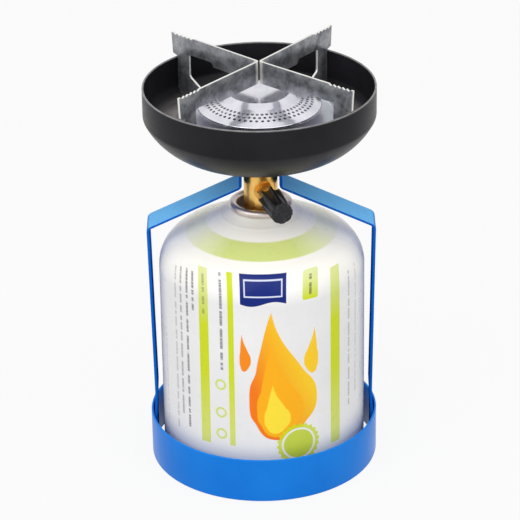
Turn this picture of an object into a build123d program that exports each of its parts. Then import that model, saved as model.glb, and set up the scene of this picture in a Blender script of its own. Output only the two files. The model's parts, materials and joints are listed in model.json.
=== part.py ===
from build123d import *
import math
import os

# Portable gas stove screwed on a valve cartridge. Millimetres, +Z up, -Y is the front.
# The origin is the centre of the base ring's lower edge, on the surface that it stands on.

# Clearances
running_fit = 0.06
screwed_fit = 0.08
seat_gap = 0.05
cut_overrun = 1.0
hexagon_break_share = 0.6

# Cartridge shell and base
can_radius = 54.5
can_wall = 0.5
can_neck_height = 144.0
can_shoulder_drop = 20.2
can_shoulder_radius = 19.5
can_bead_height = 2.6
can_bead_break = 0.9
seam_height = 3.2
seam_width = 1.7
seam_proud = 0.6
seam_edge_break = 0.5
base_wall = 0.6
base_dome_rise = 9.0
base_dome_height = 1.4

# Mounting cup with its threaded boss
cup_radius = 16.9
cup_sheet = 0.5
cup_skirt_height = 3.9
cup_top_slope = 1.1
cup_well_radius = 12.6
cup_depth = 9.0
cup_gasket_height = 0.9
boss_radius = 5.55
boss_wall = 1.15
boss_lip = 1.0
boss_below_cup_top = 0.5
boss_mouth_radius = 2.2

# Cartridge valve inside the boss
stem_gasket_height = 1.5
stem_radius = 1.5
stem_head_radius = 3.0
stem_head_height = 1.5
stem_tail_radius = 1.2
stem_tail_length = 3.2
stem_bore_radius = 0.6
stem_rise = 1.2
stem_top_gap = 0.1
housing_wall = 1.0
housing_length = 17.0
housing_inlet_radius = 0.8
spring_wire_radius = 0.3
spring_radius = 2.45
spring_turns = 5
spring_wire_sides = 4

# Base ring and cradle strap
ring_room = 4.9
ring_sheet = 1.2
ring_height = 24.8
ring_edge_break = 0.3
strap_width = 18.0
strap_sheet = 1.4
strap_foot_height = 3.0
strap_foot_top = 25.0
strap_joggle_top = 38.0
strap_waist_inset = 3.3
strap_corner_inset = 1.6
strap_corner_rise = 12.5
strap_corner_bend = 5.5
strap_saddle_reach = 10.5
strap_saddle_drop = 16.0
strap_bend = 2.2

# Windshield bowl
bowl_inset = 0.6
bowl_sheet = 1.0
bowl_depth = 36.3
bowl_knuckle_radius = 4.0
bowl_dish_radius = 36.0
bowl_dish_inset = 3.5

# Valve body and its socket
valve_radius = 8.9
valve_length = 35.7
valve_above_cup_floor = 0.6
socket_depth = 9.2
neck_radius = 5.0
neck_above_bowl = 7.0
valve_chamfer = 0.5
lower_passage_radius = 0.6
lower_passage_offset = 1.9
upper_passage_radius = 0.9
upper_passage_offset = 0.8
jet_seat_radius = 2.1
jet_seat_depth = 6.5
gasket_hole_radius = 2.6
pin_radius = 0.95
pin_seat_depth = 2.4

# Control spindle, measured outwards from the body's axis
control_above_socket = 7.7
control_azimuth = -73.5
pocket_radius = 5.7
pocket_face = 6.6
needle_seat_radius = 0.8
needle_seat_face = 1.0
needle_seat_length = 2.0
needle_tip_radius = 0.25
needle_shank_radius = 0.7
needle_length = 1.1
needle_start = 0.3
spindle_thread_radius = 2.44
spindle_thread_start = 3.4
spindle_thread_length = 2.4
spindle_radius = 1.98
o_ring_start = 7.35
o_ring_section = 0.65
o_ring_squeeze = 0.04
o_ring_section_sides = 8
gland_sleeve_start = 3.6
gland_sleeve_radius = 3.42
gland_length = 4.8
gland_lip = 1.0
gland_across_flats = 8.0

# Control knob
knob_start = 18.0
knob_length = 20.0
knob_back_radius = 6.6
knob_front_radius = 5.75
knob_flutes = 8
knob_flute_radius = 2.2
knob_flute_back_depth = 1.8
knob_flute_front_depth = 0.25
knob_chamfer = 0.7
knob_bore_depth = 14.0

# Stack on the valve's neck, inside the bowl
washer_height = 1.0
washer_rim = 2.6
nut_height = 4.2
nut_across_flats = 13.0
jet_hex_height = 2.4
jet_across_flats = 6.0
jet_tip_height = 1.6
jet_tip_radius = 1.2
jet_orifice_radius = 0.15
jet_shank_length = 4.2
filter_height = 1.8

# Mixing tube
tube_room = 0.8
tube_sheet = 0.8
tube_height = 20.6
tube_bead_height = 0.7
tube_bead_proud = 0.8
tube_bead_below_top = 2.6
air_window_width = 5.0
air_window_height = 6.0
air_window_low = 9.0
air_windows = 4

# Burner head and drip pan
pan_room = 21.0
pan_sheet = 0.6
pan_rim_rise = 1.2
pan_rim_width = 1.6
pan_dish_drop_share = 0.62
bell_sheet = 0.6
bell_collar_height = 1.8
burner_depth = 6.3
crown_radius = 32.3
crown_sheet = 0.6
crown_crimp_height = 1.4
crown_cone_rise = 4.1
crown_step_radius = 19.3
crown_disc_radius = 16.2
crown_disc_rise = 2.3
flame_port_width = 1.0
flame_ports_per_row = 54
flame_row_radii = [22.0, 24.4, 26.8]

# Pot support
support_rise = 13.0
support_sheet = 1.2
support_overhang = 2.6
support_right_turn = 5.4
support_left_turn = 183.2
support_half_angle = 47.2
support_fold_gap = 0.7
support_fold_radius = 1.0
support_tip_drop = 11.4
support_tip_taper = 0.8
support_tip_margin = 1.4
support_rim_clearance = 0.6
support_beam_depth = 12.0
support_step_rise = 2.4
support_step_inset = 5.6
support_step_run = 1.7
support_leg_width = 8.5
support_leg_wall_gap = 0.6
support_leg_rounding = 3.0
support_leg_slant_drop = 9.0
support_foot_drop = 6.2
support_foot_gap = 0.6
support_corner_rounding = 1.0
tooth_pitch = 2.9
tooth_depth = 0.9
tooth_count = 5

# Radii and reaches that follow from the sizes above
seam_outer = can_radius + seam_proud
ring_radius = seam_outer + ring_room + ring_sheet
strap_waist = ring_radius - strap_waist_inset
strap_corner_reach = ring_radius - strap_corner_inset
bowl_radius = ring_radius - bowl_inset
pan_radius = bowl_radius - pan_room
support_tip_radius = bowl_radius + support_overhang
bead_outer = cup_radius - cup_sheet - seat_gap
bead_inner = cup_well_radius + cup_sheet + seat_gap
boss_bore_radius = boss_radius - boss_wall
housing_radius = boss_bore_radius - seat_gap
gland_bore_radius = spindle_radius + 1.5 * o_ring_section
o_ring_radius = gland_bore_radius - o_ring_section - running_fit
tube_radius = neck_radius + washer_rim + tube_room + tube_sheet

# Heights that follow from the cartridge's, from the floor up
can_shoulder_height = can_neck_height - can_shoulder_drop
strap_corner_height = can_shoulder_height + strap_corner_rise
cup_top = can_neck_height + can_bead_height + cup_gasket_height + cup_sheet
cup_floor_top = cup_top - cup_depth
boss_top = cup_top - boss_below_cup_top
valve_bottom = cup_floor_top + valve_above_cup_floor
socket_roof = valve_bottom + socket_depth
control_height = socket_roof + control_above_socket
valve_shoulder = valve_bottom + valve_length
strap_saddle_height = valve_shoulder - strap_saddle_drop
bowl_underside = valve_shoulder + strap_sheet
bowl_floor = bowl_underside + bowl_sheet
bowl_rim_height = bowl_underside + bowl_depth
support_height = bowl_rim_height + support_rise
neck_top = bowl_floor + neck_above_bowl
washer_bottom = bowl_floor + tube_sheet
nut_bottom = washer_bottom + washer_height
tube_top = bowl_floor + tube_height
pan_bottom = tube_top - tube_bead_below_top
bell_bottom = pan_bottom + pan_sheet
crown_edge_height = bell_bottom + burner_depth
housing_top = boss_top - boss_lip - stem_gasket_height
housing_bottom = housing_top - housing_length
stem_head_top = housing_top - stem_rise - stem_top_gap
stem_top = boss_top - boss_lip + stem_top_gap
bell_top = crown_edge_height - crown_sheet - seat_gap

# Frame of the control spindle: its z axis points from the body out through the knob
control_direction = (math.cos(math.radians(control_azimuth)), math.sin(math.radians(control_azimuth)), 0)
control_frame = Plane(origin=(0, 0, control_height), z_dir=control_direction)


def spun(outline):
    """Solid of revolution from a face drawn with x as radius and y as height."""
    return revolve(Plane.XZ * outline, Axis.Z)


def sheet_section(line, thickness):
    """Face of a sheet seen edge on: the line is its right skin."""
    return make_face(Wire(line.edges()).offset_2d(thickness, kind=Kind.INTERSECTION, side=Side.LEFT).edges())


def spun_sheet(line, thickness):
    """Sheet of revolution, with the line as its right skin."""
    return spun(sheet_section(line, thickness))


def ring(outer, inner, low, high):
    """Plain ring between two heights."""
    return Pos(0, 0, low) * extrude(Circle(outer) - Circle(inner), high - low)


def round_bar(radius, low, high):
    """Plain upright cylinder between two heights."""
    return Pos(0, 0, low) * extrude(Circle(radius), high - low)


def hexagon(across_flats, low, high):
    """Upright hexagon bar with its corners taken off by a turning tool."""
    corner_radius = across_flats / math.sqrt(3)
    bar = Pos(0, 0, low) * extrude(RegularPolygon(corner_radius, 6), high - low)
    corner_break = hexagon_break_share * (corner_radius - across_flats / 2)
    turned = chamfer(round_bar(corner_radius, low, high).edges(), corner_break)
    return bar & turned


def cartridge_shell():
    """Drawn wall, shoulder and neck, ending in the bead that the cup is crimped on."""
    neck_radius_mid = (bead_outer + bead_inner) / 2
    line = FilletPolyline(
        (can_radius, seam_height), (can_radius, can_shoulder_height), (neck_radius_mid, can_neck_height),
        radius=can_shoulder_radius)
    bead = ring(bead_outer, bead_inner, can_neck_height - 2 * can_wall, can_neck_height + can_bead_height)
    bead = chamfer(bead.edges(), can_bead_break)
    return spun_sheet(line, can_wall) + bead


def cartridge_base():
    """Concave bottom, with the seam that closes on the wall and stands on the floor."""
    seam_inner = seam_outer - seam_width
    dome_radius = (seam_inner ** 2 + base_dome_rise ** 2) / (2 * base_dome_rise)
    dome_angle = math.degrees(math.asin(seam_inner / dome_radius))
    centre_height = base_dome_height + base_dome_rise - dome_radius
    dome = CenterArc((0, centre_height), dome_radius, 90, -dome_angle)
    seam = ring(seam_outer, seam_inner - seat_gap, 0, seam_height)
    seam = chamfer(seam.faces().sort_by(Axis.Z)[0].edges(), seam_edge_break)
    return spun_sheet(dome, base_wall) + seam


def valve_cup():
    """Cup crimped over the bead: skirt, flat top, well and the boss with its lip."""
    boss_foot = cup_floor_top - cup_sheet
    line = Polyline(
        (cup_radius, cup_top - cup_skirt_height), (cup_radius, cup_top - cup_top_slope),
        (cup_radius - cup_top_slope, cup_top), (cup_well_radius + cup_top_slope, cup_top),
        (cup_well_radius, cup_top - cup_top_slope), (cup_well_radius, cup_floor_top),
        (boss_radius - boss_wall / 2, cup_floor_top))
    boss = ring(boss_radius, boss_bore_radius, boss_foot, boss_top)
    boss = chamfer(boss.edges().group_by(Axis.Z)[-1].sort_by(SortBy.LENGTH)[-1], boss_wall / 3)
    lip = ring(boss_bore_radius + boss_wall / 2, boss_mouth_radius, boss_top - boss_lip, boss_top)
    return spun_sheet(line, cup_sheet) + boss + lip


def cup_gasket():
    """Flat gasket squeezed between the bead and the cup's top."""
    low = can_neck_height + can_bead_height
    return ring(bead_outer - cup_top_slope, bead_inner + cup_top_slope, low, low + cup_gasket_height)


def stem_gasket():
    """Rubber washer under the boss's lip, which the stem slides through."""
    return ring(housing_radius, stem_radius + running_fit, housing_top, housing_top + stem_gasket_height)


def valve_housing():
    """Plastic cage that holds spring and stem, open to the gas at its lower end."""
    inner = housing_radius - housing_wall
    return (round_bar(housing_radius, housing_bottom, housing_top)
            - round_bar(inner, housing_bottom + housing_wall, housing_top + cut_overrun)
            - round_bar(housing_inlet_radius, housing_bottom - cut_overrun, housing_bottom + housing_wall))


def cartridge_stem():
    """Stem of the cartridge's valve: pressed down at rest, by the stove's pin."""
    head_bottom = stem_head_top - stem_head_height
    stem = (round_bar(stem_radius, stem_head_top, stem_top)
            + round_bar(stem_head_radius, head_bottom, stem_head_top)
            + round_bar(stem_tail_radius, head_bottom - stem_tail_length, head_bottom))
    inlet = Pos(0, 0, stem_head_top + stem_bore_radius) * Rot(0, 90, 0) * Cylinder(
        stem_bore_radius, 2 * stem_head_radius)
    return stem - round_bar(stem_bore_radius, stem_head_top, stem_top + cut_overrun) - inlet


def stem_spring():
    """Coil between the cage's floor and the stem's head."""
    low = housing_bottom + housing_wall + spring_wire_radius + seat_gap
    high = stem_head_top - stem_head_height - spring_wire_radius - seat_gap
    helix = Helix(pitch=(high - low) / spring_turns, height=high - low, radius=spring_radius)
    print("stem spring, least gap between turns:", (high - low) / spring_turns - 2 * spring_wire_radius)
    section = RegularPolygon(spring_wire_radius, spring_wire_sides)
    wire = sweep(Plane(helix @ 0, z_dir=helix % 0) * section, path=helix)
    return Pos(0, 0, low) * wire


def base_ring():
    """Band round the cartridge's foot, open above and below."""
    band = ring(ring_radius, ring_radius - ring_sheet, 0, ring_height)
    return chamfer(band.edges(), ring_edge_break)


def cradle_strap():
    """One strip bent from foot to foot, over the shoulder and through a saddle under the bowl."""
    half_sheet = strap_sheet / 2
    weld_reach = math.sqrt((ring_radius - ring_sheet) ** 2 - (strap_width / 2) ** 2)
    foot = weld_reach - half_sheet - seat_gap
    saddle_top = bowl_underside - half_sheet
    right = [(strap_saddle_reach, saddle_top), (strap_saddle_reach, strap_saddle_height - half_sheet),
             (strap_corner_reach, strap_corner_height - half_sheet), (strap_waist, strap_joggle_top),
             (foot, strap_foot_top), (foot, strap_foot_height)]
    left = [(-x, z) for x, z in reversed(right)]
    bends = [strap_bend, strap_bend, strap_corner_bend, strap_corner_bend, strap_corner_bend]
    path = FilletPolyline(*left, *right, radius=bends[::-1] + bends)
    outline = make_face(Wire(path.edges()).offset_2d(half_sheet, kind=Kind.INTERSECTION).edges())
    strip = extrude(Plane.XZ * outline, strap_width / 2, both=True)
    hole = round_bar(neck_radius + screwed_fit, valve_shoulder - cut_overrun, bowl_underside + cut_overrun)
    return strip - hole


def bowl_line(rim_height):
    """Outer skin of the bowl, from its hole out along the dished floor and up the wall."""
    flat_radius = bowl_radius + bowl_dish_inset - bowl_dish_radius
    dish_height = bowl_underside + bowl_dish_radius
    reach = bowl_radius - bowl_knuckle_radius - flat_radius
    angle = math.degrees(math.acos(reach / (bowl_dish_radius - bowl_knuckle_radius)))
    knuckle_height = dish_height - reach * math.tan(math.radians(angle))
    floor = Line((neck_radius + screwed_fit, bowl_underside), (flat_radius, bowl_underside))
    dish = CenterArc((flat_radius, dish_height), bowl_dish_radius, -90, 90 - angle)
    knuckle_centre = (bowl_radius - bowl_knuckle_radius, knuckle_height)
    knuckle = CenterArc(knuckle_centre, bowl_knuckle_radius, -angle, angle)
    wall = Line((bowl_radius, knuckle_height), (bowl_radius, rim_height))
    return floor + dish + knuckle + wall


def windshield_bowl():
    """Pressed bowl: straight wall, sharp knuckle and a dished floor with a flat middle."""
    return spun_sheet(bowl_line(bowl_rim_height), bowl_sheet)


def bowl_inside():
    """Room inside the bowl, less a weld gap, as high as the pot support's top."""
    skin = bowl_line(support_height + cut_overrun)
    inner = Wire(skin.edges()).offset_2d(bowl_sheet + seat_gap, kind=Kind.INTERSECTION, side=Side.LEFT,
                                         closed=False)
    room = Polyline(inner @ 1, (0, (inner @ 1).Y), (0, (inner @ 0).Y), inner @ 0)
    return spun(make_face(inner.edges() + room.edges()))


def arm_outline():
    """Side view of one pot support arm, x outwards from the centre and y up."""
    inner_wall = bowl_radius - bowl_sheet
    leg_outer = inner_wall - support_leg_wall_gap
    foot_inner = pan_radius + support_foot_gap
    tip_low = support_height - support_tip_drop
    beam_low = support_height - support_beam_depth
    step_radius = pan_radius - support_step_inset
    leg_inner = leg_outer - support_leg_width
    slant_top = bowl_rim_height - support_leg_slant_drop
    step_top = beam_low + support_step_rise
    rim = bowl_rim_height + support_rim_clearance
    start = -support_tip_radius / 8
    tip = [(support_tip_radius, support_height), (support_tip_radius - support_tip_taper, tip_low)]
    leg = [(leg_outer, rim), (leg_outer, bowl_underside), (foot_inner, bowl_underside)]
    window = [(foot_inner, slant_top - support_foot_drop), (leg_inner, slant_top), (leg_inner, step_top),
              (step_radius, step_top), (step_radius - support_step_run, beam_low)]
    outline = make_face(Polyline((start, support_height), *tip, *leg, *window, (start, beam_low), close=True))
    for corner, rounding in ((tip[1], support_corner_rounding), (window[1], support_leg_rounding),
                             (window[2], support_corner_rounding)):
        outline = fillet(outline.vertices().sort_by_distance((*corner, 0))[0], rounding)
    notch = Polyline((-tooth_pitch / 2, 0), (tooth_pitch / 2, 0), (0, -tooth_depth), close=True)
    for tooth in range(tooth_count):
        place = support_tip_radius - support_tip_margin - tooth_pitch * (tooth + 0.5)
        outline -= Pos(place, support_height) * make_face(notch)
    return outline


def pot_support(turn):
    """Plate folded at the centre into two arms, which stand on the bowl's floor."""
    spread = math.radians(support_half_angle)
    reach = support_tip_radius + cut_overrun
    bend = support_fold_radius + support_sheet
    arm_end = Vector(reach * math.cos(spread), reach * math.sin(spread))
    fold = Vector(support_fold_gap / 2 - bend * (1 / math.sin(spread) - 1), 0)
    path = FilletPolyline(fold + arm_end, fold, fold + Vector(arm_end.X, -arm_end.Y), radius=bend)
    blank = extrude(sheet_section(path, support_sheet), support_height + cut_overrun)
    side_view = Plane.XZ * arm_outline()
    arm_room = extrude(side_view, support_sheet * 3, both=True)
    arms = Pos(fold) * (Rot(0, 0, support_half_angle) * arm_room + Rot(0, 0, -support_half_angle) * arm_room)
    above_rim = round_bar(support_tip_radius * 2, bowl_rim_height, support_height + cut_overrun)
    plate = (blank & arms) & (bowl_inside() + above_rim)
    return Rot(0, 0, turn) * plate


def control_bar(radius, start, end):
    """Round bar along the control spindle, between two distances from the body's axis."""
    return control_frame * Pos(0, 0, start) * extrude(Circle(radius), end - start)


def valve_body():
    """Turned brass body: socket for the cartridge's boss below, neck above, spindle at the side."""
    body = round_bar(valve_radius, valve_bottom, valve_shoulder)
    body = chamfer(body.edges().filter_by(GeomType.CIRCLE), valve_chamfer)
    body += round_bar(neck_radius, valve_shoulder, neck_top)
    body -= round_bar(boss_radius + screwed_fit, valve_bottom - cut_overrun, socket_roof)
    body -= round_bar(pin_radius + running_fit, socket_roof, socket_roof + pin_seat_depth)
    body -= round_bar(jet_seat_radius, neck_top - jet_seat_depth, neck_top + cut_overrun)
    across = Vector(*control_direction)
    body -= Pos(across * lower_passage_offset) * round_bar(lower_passage_radius, socket_roof, control_height)
    body -= Pos(across * -upper_passage_offset) * round_bar(
        upper_passage_radius, control_height, neck_top - jet_seat_depth)
    body -= control_bar(needle_seat_radius, needle_seat_face - needle_seat_length, needle_seat_face)
    body -= control_bar(spindle_thread_radius + running_fit, needle_seat_face, gland_sleeve_start)
    body -= control_bar(gland_sleeve_radius + screwed_fit, gland_sleeve_start, pocket_face)
    body -= control_bar(pocket_radius, pocket_face, valve_radius * 2)
    return body


def gland_nut():
    """Nut that holds spindle and seal in the body, with its lip outside the seal."""
    end = pocket_face + gland_length
    nut = control_frame * hexagon(gland_across_flats, pocket_face, end)
    nut += control_bar(gland_sleeve_radius, gland_sleeve_start, pocket_face)
    nut -= control_bar(spindle_thread_radius + running_fit, gland_sleeve_start, o_ring_start - running_fit)
    nut -= control_bar(gland_bore_radius, o_ring_start - running_fit, end - gland_lip)
    return nut - control_bar(spindle_radius + running_fit, end - gland_lip, end + cut_overrun)


def spindle_o_ring():
    """Round seal in the spindle's groove."""
    section = Pos(o_ring_radius, 0) * RegularPolygon(o_ring_section - o_ring_squeeze, o_ring_section_sides)
    return control_frame * Pos(0, 0, o_ring_start + o_ring_section) * spun(section)


def valve_spindle():
    """Needle, thread, grooved shank and the end that the knob is pressed on."""
    needle_end = needle_start + needle_length
    groove_radius = o_ring_radius - o_ring_section
    groove_end = o_ring_start + 2 * o_ring_section
    thread_end = spindle_thread_start + spindle_thread_length
    needle = control_frame * Pos(0, 0, (needle_start + needle_end) / 2) * Cone(
        needle_tip_radius, needle_shank_radius, needle_length)
    spindle = needle + control_bar(needle_shank_radius, needle_end, spindle_thread_start)
    spindle += control_bar(spindle_thread_radius, spindle_thread_start, thread_end)
    spindle += control_bar(spindle_radius, thread_end, o_ring_start)
    spindle += control_bar(groove_radius, o_ring_start, groove_end)
    return spindle + control_bar(spindle_radius, groove_end, knob_start + knob_bore_depth - seat_gap)


def control_knob():
    """Tapered knob with a flat end and flutes that run out towards it."""
    back = Pos(0, 0, knob_start) * Circle(knob_back_radius)
    front = Pos(0, 0, knob_start + knob_length) * Circle(knob_front_radius)
    knob = loft([back, front])
    knob = chamfer(knob.edges().group_by(Axis.Z)[-1], knob_chamfer)
    back_reach = knob_back_radius - knob_flute_back_depth + knob_flute_radius
    front_reach = knob_front_radius - knob_flute_front_depth + knob_flute_radius
    lean = math.degrees(math.atan((front_reach - back_reach) / knob_length))
    cutter = Pos(0, 0, -cut_overrun) * extrude(Circle(knob_flute_radius), knob_length + 2 * cut_overrun)
    flute = Pos(back_reach, 0, knob_start) * Rot(0, lean, 0) * cutter
    for turn in range(knob_flutes):
        knob -= Rot(0, 0, 360 / knob_flutes * (turn + 0.5)) * flute
    knob -= round_bar(spindle_radius + seat_gap, knob_start - cut_overrun, knob_start + knob_bore_depth)
    return control_frame * knob


def connector_gasket():
    """Flat gasket between the cartridge's boss and the roof of the body's socket."""
    return ring(boss_radius - running_fit, gasket_hole_radius, boss_top + seat_gap, socket_roof - seat_gap)


def depressor_pin():
    """Pin in the body that pushes the cartridge's stem down."""
    return round_bar(pin_radius, stem_top + seat_gap, socket_roof + pin_seat_depth - seat_gap)


def mixing_tube():
    """Cup-shaped tube on the bowl's floor, with air windows and a bead that carries the pan."""
    plate = ring(tube_radius, neck_radius + screwed_fit, bowl_floor, bowl_floor + tube_sheet)
    wall = ring(tube_radius, tube_radius - tube_sheet, bowl_floor, tube_top)
    bead = ring(tube_radius + tube_bead_proud, tube_radius - tube_sheet / 2, pan_bottom - tube_bead_height,
                pan_bottom)
    tube = plate + wall + bead
    window = Pos(tube_radius, 0, bowl_floor + air_window_low + air_window_height / 2) * Box(
        tube_radius, air_window_width, air_window_height)
    for turn in range(air_windows):
        tube -= Rot(0, 0, 360 / air_windows * (turn + 0.5)) * window
    return tube


def lock_washer():
    """Washer under the clamping nut."""
    return ring(neck_radius + washer_rim, neck_radius + screwed_fit, washer_bottom, nut_bottom)


def clamp_nut():
    """Nut that clamps tube, bowl and strap on the body's shoulder."""
    nut_top = nut_bottom + nut_height
    nut = hexagon(nut_across_flats, nut_bottom, nut_top)
    return nut - round_bar(neck_radius + screwed_fit, nut_bottom - cut_overrun, nut_top + cut_overrun)


def jet():
    """Gas nozzle screwed into the top of the neck."""
    hex_top = neck_top + jet_hex_height
    nozzle = hexagon(jet_across_flats, neck_top, hex_top)
    nozzle += Pos(0, 0, hex_top + jet_tip_height / 2) * Cone(jet_seat_radius, jet_tip_radius, jet_tip_height)
    nozzle += round_bar(jet_seat_radius - screwed_fit, neck_top - jet_shank_length, neck_top)
    channel = round_bar(jet_seat_radius / 2, neck_top - jet_shank_length - cut_overrun, hex_top)
    return nozzle - channel - round_bar(jet_orifice_radius, hex_top, hex_top + jet_tip_height + cut_overrun)


def jet_filter():
    """Sintered plug under the nozzle."""
    low = neck_top - jet_seat_depth
    return round_bar(jet_seat_radius - seat_gap, low, low + filter_height)


def drip_pan():
    """Wide shallow dish on the tube's bead, with a raised rim."""
    flat = pan_dish_drop_share * pan_radius
    line = Polyline((tube_radius + seat_gap, pan_bottom), (flat, pan_bottom),
                    (pan_radius - pan_rim_width, pan_bottom + pan_rim_rise / 2),
                    (pan_radius, pan_bottom + pan_rim_rise / 2 + pan_rim_rise))
    return spun_sheet(line, pan_sheet)


def burner_bell():
    """Lower half of the burner head: collar on the tube, flaring out to the crimped flange."""
    flange = bell_top - bell_sheet
    collar = tube_radius + seat_gap + bell_sheet
    line = Polyline((collar, bell_bottom), (collar, bell_bottom + bell_collar_height),
                    (crown_step_radius, flange), (crown_radius - crown_sheet - seat_gap, flange))
    return spun_sheet(line, bell_sheet)


def flame_port(radius):
    """Cutting bar for one flame port, as long along its row as it is wide across it."""
    half_turn = math.degrees(flame_port_width / radius / 2)
    near = CenterArc((0, 0), radius - flame_port_width / 2, -half_turn, 2 * half_turn)
    far = CenterArc((0, 0), radius + flame_port_width / 2, -half_turn, 2 * half_turn)
    outline = near + Line(near @ 1, far @ 1) + far + Line(far @ 0, near @ 0)
    return Pos(0, 0, bell_top) * extrude(make_face(outline.edges()), crown_cone_rise * 2)


def burner_crown():
    """Pressed cap: crimped edge, cone with three rows of flame ports, and the raised disc."""
    cone_top = crown_edge_height + crown_cone_rise
    disc_top = cone_top + crown_disc_rise
    line = Polyline(
        (crown_radius, crown_edge_height - crown_crimp_height), (crown_radius, crown_edge_height),
        (crown_step_radius, cone_top), (crown_disc_radius, disc_top), (0, disc_top))
    ports = []
    for row, radius in enumerate(flame_row_radii):
        port = flame_port(radius)
        for place in range(flame_ports_per_row):
            ports.append(Rot(0, 0, 360 / flame_ports_per_row * (place + row % 2 / 2)) * port)
    return spun_sheet(line, crown_sheet) - ports


os.makedirs("parts", exist_ok=True)
nodes = {
    "base_ring": base_ring(),
    "cradle_strap": cradle_strap(),
    "windshield_bowl": windshield_bowl(),
    "pot_support_right": pot_support(support_right_turn),
    "pot_support_left": pot_support(support_left_turn),
    "burner_crown": burner_crown(),
    "burner_bell": burner_bell(),
    "drip_pan": drip_pan(),
    "mixing_tube": mixing_tube(),
    "lock_washer": lock_washer(),
    "clamp_nut": clamp_nut(),
    "jet": jet(),
    "jet_filter": jet_filter(),
    "valve_body": valve_body(),
    "gland_nut": gland_nut(),
    "spindle_o_ring": spindle_o_ring(),
    "valve_spindle": valve_spindle(),
    "control_knob": control_knob(),
    "connector_gasket": connector_gasket(),
    "depressor_pin": depressor_pin(),
    "cartridge_shell": cartridge_shell(),
    "cartridge_base": cartridge_base(),
    "valve_cup": valve_cup(),
    "cup_gasket": cup_gasket(),
    "stem_gasket": stem_gasket(),
    "valve_housing": valve_housing(),
    "cartridge_stem": cartridge_stem(),
    "stem_spring": stem_spring(),
}
for name, shape in nodes.items():
    export_step(shape, f"parts/{name}.step")
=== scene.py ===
import bpy
import json
import math
from mathutils import Matrix, Vector


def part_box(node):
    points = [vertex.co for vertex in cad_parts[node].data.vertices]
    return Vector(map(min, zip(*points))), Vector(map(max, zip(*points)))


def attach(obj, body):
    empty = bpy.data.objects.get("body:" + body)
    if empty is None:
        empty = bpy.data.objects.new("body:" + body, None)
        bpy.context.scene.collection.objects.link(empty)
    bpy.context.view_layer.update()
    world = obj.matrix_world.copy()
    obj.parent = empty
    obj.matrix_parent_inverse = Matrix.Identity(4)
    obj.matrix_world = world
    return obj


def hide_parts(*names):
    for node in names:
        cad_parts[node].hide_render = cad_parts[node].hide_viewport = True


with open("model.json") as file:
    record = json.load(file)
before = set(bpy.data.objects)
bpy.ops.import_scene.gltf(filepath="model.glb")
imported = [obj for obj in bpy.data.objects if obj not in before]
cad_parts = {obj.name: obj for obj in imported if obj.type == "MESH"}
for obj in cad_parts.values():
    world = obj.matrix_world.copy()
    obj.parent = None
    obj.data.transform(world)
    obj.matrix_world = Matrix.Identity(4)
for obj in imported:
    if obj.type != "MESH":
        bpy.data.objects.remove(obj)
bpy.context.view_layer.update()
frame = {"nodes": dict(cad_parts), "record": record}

mm = 0.001
body_of = {node: body for body, nodes in frame["record"]["behaviour"]["bodies"].items()
           for node in nodes}

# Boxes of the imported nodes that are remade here
ring_low, ring_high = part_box("base_ring")
bowl_low, bowl_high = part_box("windshield_bowl")
crown_low, crown_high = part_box("burner_crown")
pan_low, pan_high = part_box("drip_pan")
can_low, can_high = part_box("cartridge_shell")
cup_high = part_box("valve_cup")[1]
valve_low, valve_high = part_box("valve_body")

# Meshing, its angle in degrees
round_segments = 216
bend_steps = 6
merge_distance = 0.002 * mm
strap_merge = 0.01 * mm
port_merge = 0.02 * mm
crown_merge = 0.08 * mm
smooth_angle = 35

# Ring and strap. The strap's heights and bends go from its foot up to its web.
ring_sheet = 1.2 * mm
ring_edge = 0.45 * mm
strap_width = 18.0 * mm
strap_sheet = 1.4 * mm
strap_foot = 58.45 * mm
strap_heights = (3.0 * mm, 25.0 * mm, 38.0 * mm, 135.6 * mm, 158.6 * mm, 176.0 * mm)
strap_waist = 57.9 * mm
strap_corner = 59.6 * mm
strap_saddle = 10.5 * mm
strap_bends = [5.5 * mm, 5.5 * mm, 3.0 * mm, 2.2 * mm, 2.2 * mm]
strap_bevel = 0.3 * mm
neck_hole_radius = 5.1 * mm
neck_hole_depth = 6 * mm

# Bowl, supports and pan. The pan's rise is how far in from its rim, and how far up.
bowl_sheet = 1.0 * mm
bowl_knuckle_radius = 4.0 * mm
bowl_dish_radius = 36.0 * mm
bowl_flat_radius = 28.1 * mm
support_bevel = 0.16 * mm
pan_sheet = 0.6 * mm
pan_hole_radius = 9.25 * mm
pan_flat_share = 0.62
pan_rise = ((1.8 * mm, 0.55 * mm), (0.7 * mm, 0.9 * mm), (0.1 * mm, 1.5 * mm))

# Burner crown
crown_sheet = 0.6 * mm
crown_edge_height = 202.6 * mm
crown_step_radius = 19.3 * mm
crown_step_height = 206.7 * mm
crown_step_foot = 0.5 * mm
crown_disc_radius = 16.2 * mm
crown_disc_margin = 0.9 * mm
crown_disc_rounding = 0.6 * mm
crown_slope_run = 0.7 * mm
crown_slope_rise = 0.35 * mm
crown_cone_margin = 2.0 * mm
crown_bend_margin = 1.5 * mm
crown_bend_drop = 0.15 * mm
crown_edge_rounding = 0.5 * mm
crown_crimp_rise = 0.2 * mm
crown_crimp_reach = 0.25 * mm
port_radius = 0.84 * mm
port_rows = (22.4 * mm, 24.9 * mm, 27.4 * mm)
port_row_width = 2.5 * mm
ports_per_row = 58

# Cartridge's shell
can_wall = 0.5 * mm
can_wall_rows = (26 * mm, 60 * mm)
can_wall_top = 111.8 * mm
can_shoulder_radius = 19.5 * mm
can_slope = math.radians(26.8)
can_ripple_radius = 21.5 * mm
can_ripple_width = 1.4 * mm
can_ripple_height = 0.16 * mm
can_ripple_steps = 8
can_neck_radius = 15.0 * mm
can_neck_foot = 15.4 * mm
can_neck_rise = 0.6 * mm
can_bead_centre = (14.75 * mm, 145.9 * mm)
can_bead_radius = 0.75 * mm

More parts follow.
